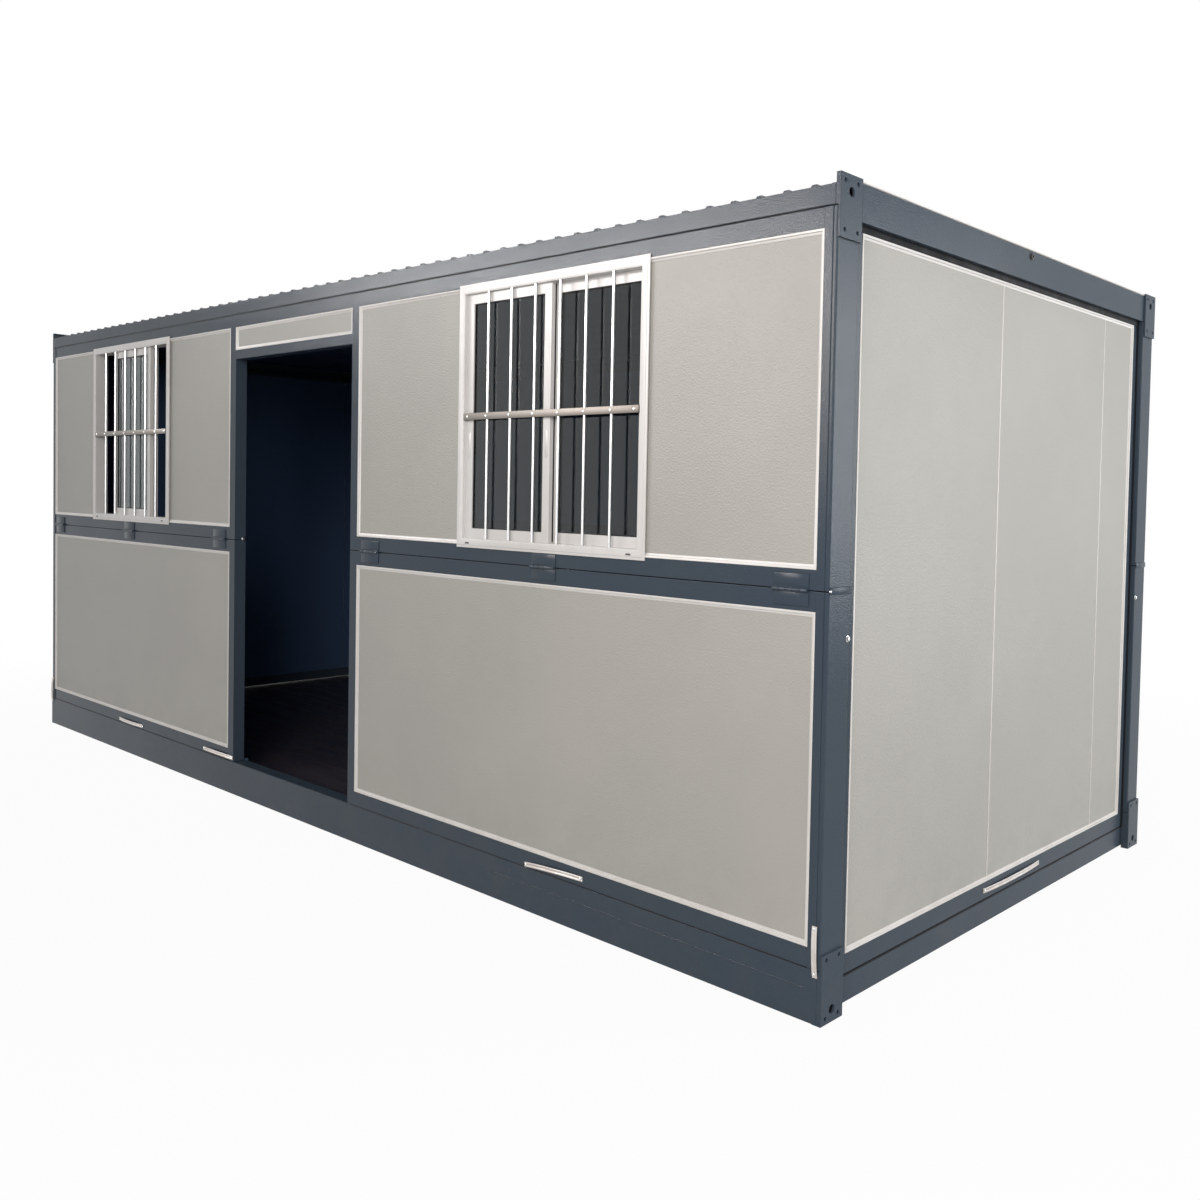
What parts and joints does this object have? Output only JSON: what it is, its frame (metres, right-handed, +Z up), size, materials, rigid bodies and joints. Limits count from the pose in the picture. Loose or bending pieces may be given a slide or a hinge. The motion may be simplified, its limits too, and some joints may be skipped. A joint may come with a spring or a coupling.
{
  "type": "foldable container house",
  "caption": "Flat-topped steel-framed cabin with split side walls, an open doorway, sliding windows and end walls that swing up under the roof.",
  "frame": {"origin": "on the ground under the middle of the house", "axes": "+X along the house towards its right end seen from the door side, -Y out of the doorway, +Z up"},
  "size_m": [6.058, 2.478, 2.47],
  "materials": {
    "painted_frame": "dark blue-grey gloss paint",
    "sandwich_panel": "embossed light grey coil coating",
    "white_bead": "white powder coat",
    "window_aluminium": "white powder coat",
    "window_glass": "clear glass",
    "hinge_steel": "paint over steel",
    "pull_handle": "galvanised strip",
    "rubber_seal": "black rubber",
    "floor_board": "dark film-faced board",
    "ceiling_board": "dark coating",
    "roof_sheet": "coated corrugated steel",
    "joist_steel": "primer",
    "black_plastic": "moulded plastic"
  },
  "bodies": {
    "house": {"back_fold_hinges": "hinge_steel", "back_lower_frame": "painted_frame", "back_lower_panels": "sandwich_panel", "back_panel_trims": "white_bead", "back_pull_handles": "pull_handle", "back_upper_frame": "painted_frame", "back_upper_panels": "sandwich_panel", "base_back_beam": "painted_frame", "base_front_beam": "painted_frame", "base_left_beam": "painted_frame", "base_right_beam": "painted_frame", "bottom_corner_plates": "painted_frame", "cable_gland": "black_plastic", "ceiling_board": "ceiling_board", "door_header_frame": "painted_frame", "door_header_panel": "sandwich_panel", "floor_board": "floor_board", "floor_joists": "joist_steel", "front_fold_hinges": "hinge_steel", "front_lower_left_frame": "painted_frame", "front_lower_left_panel": "sandwich_panel", "front_lower_right_frame": "painted_frame", "front_lower_right_panel": "sandwich_panel", "front_panel_trims": "white_bead", "front_pull_handles": "pull_handle", "front_upper_left_frame": "painted_frame", "front_upper_left_panel": "sandwich_panel", "front_upper_right_frame": "painted_frame", "front_upper_right_panel": "sandwich_panel", "left_hinge_pins": "hinge_steel", "lower_corner_posts": "painted_frame", "right_hinge_pins": "hinge_steel", "roof_back_beam": "painted_frame", "roof_front_beam": "painted_frame", "roof_joists": "joist_steel", "roof_left_beam": "painted_frame", "roof_right_beam": "painted_frame", "roof_sheet": "roof_sheet", "seam_seals": "rubber_seal", "top_corner_plates": "painted_frame", "upper_corner_posts": "painted_frame", "window_left_frame": "window_aluminium", "window_left_glass": "window_glass", "window_left_sashes": "window_aluminium", "window_right_frame": "window_aluminium", "window_right_glass": "window_glass", "window_right_sashes": "window_aluminium"},
    "right_end_wall": {"right_wall_frame": "painted_frame", "right_wall_panels": "sandwich_panel", "right_wall_trim": "white_bead", "right_wall_handle": "pull_handle"},
    "left_end_wall": {"left_wall_frame": "painted_frame", "left_wall_panels": "sandwich_panel", "left_wall_trim": "white_bead", "left_wall_handle": "pull_handle"}
  },
  "joints": [
    {"name": "right_wall_swing", "type": "hinge", "parent": "house", "child": "right_end_wall", "pos_m": [2.991, 0, 2.36], "axis": [0, 1, 0], "range_deg": [0, 90]},
    {"name": "left_wall_swing", "type": "hinge", "parent": "house", "child": "left_end_wall", "pos_m": [-2.991, 0, 2.36], "axis": [0, -1, 0], "range_deg": [0, 90]}
  ]
}
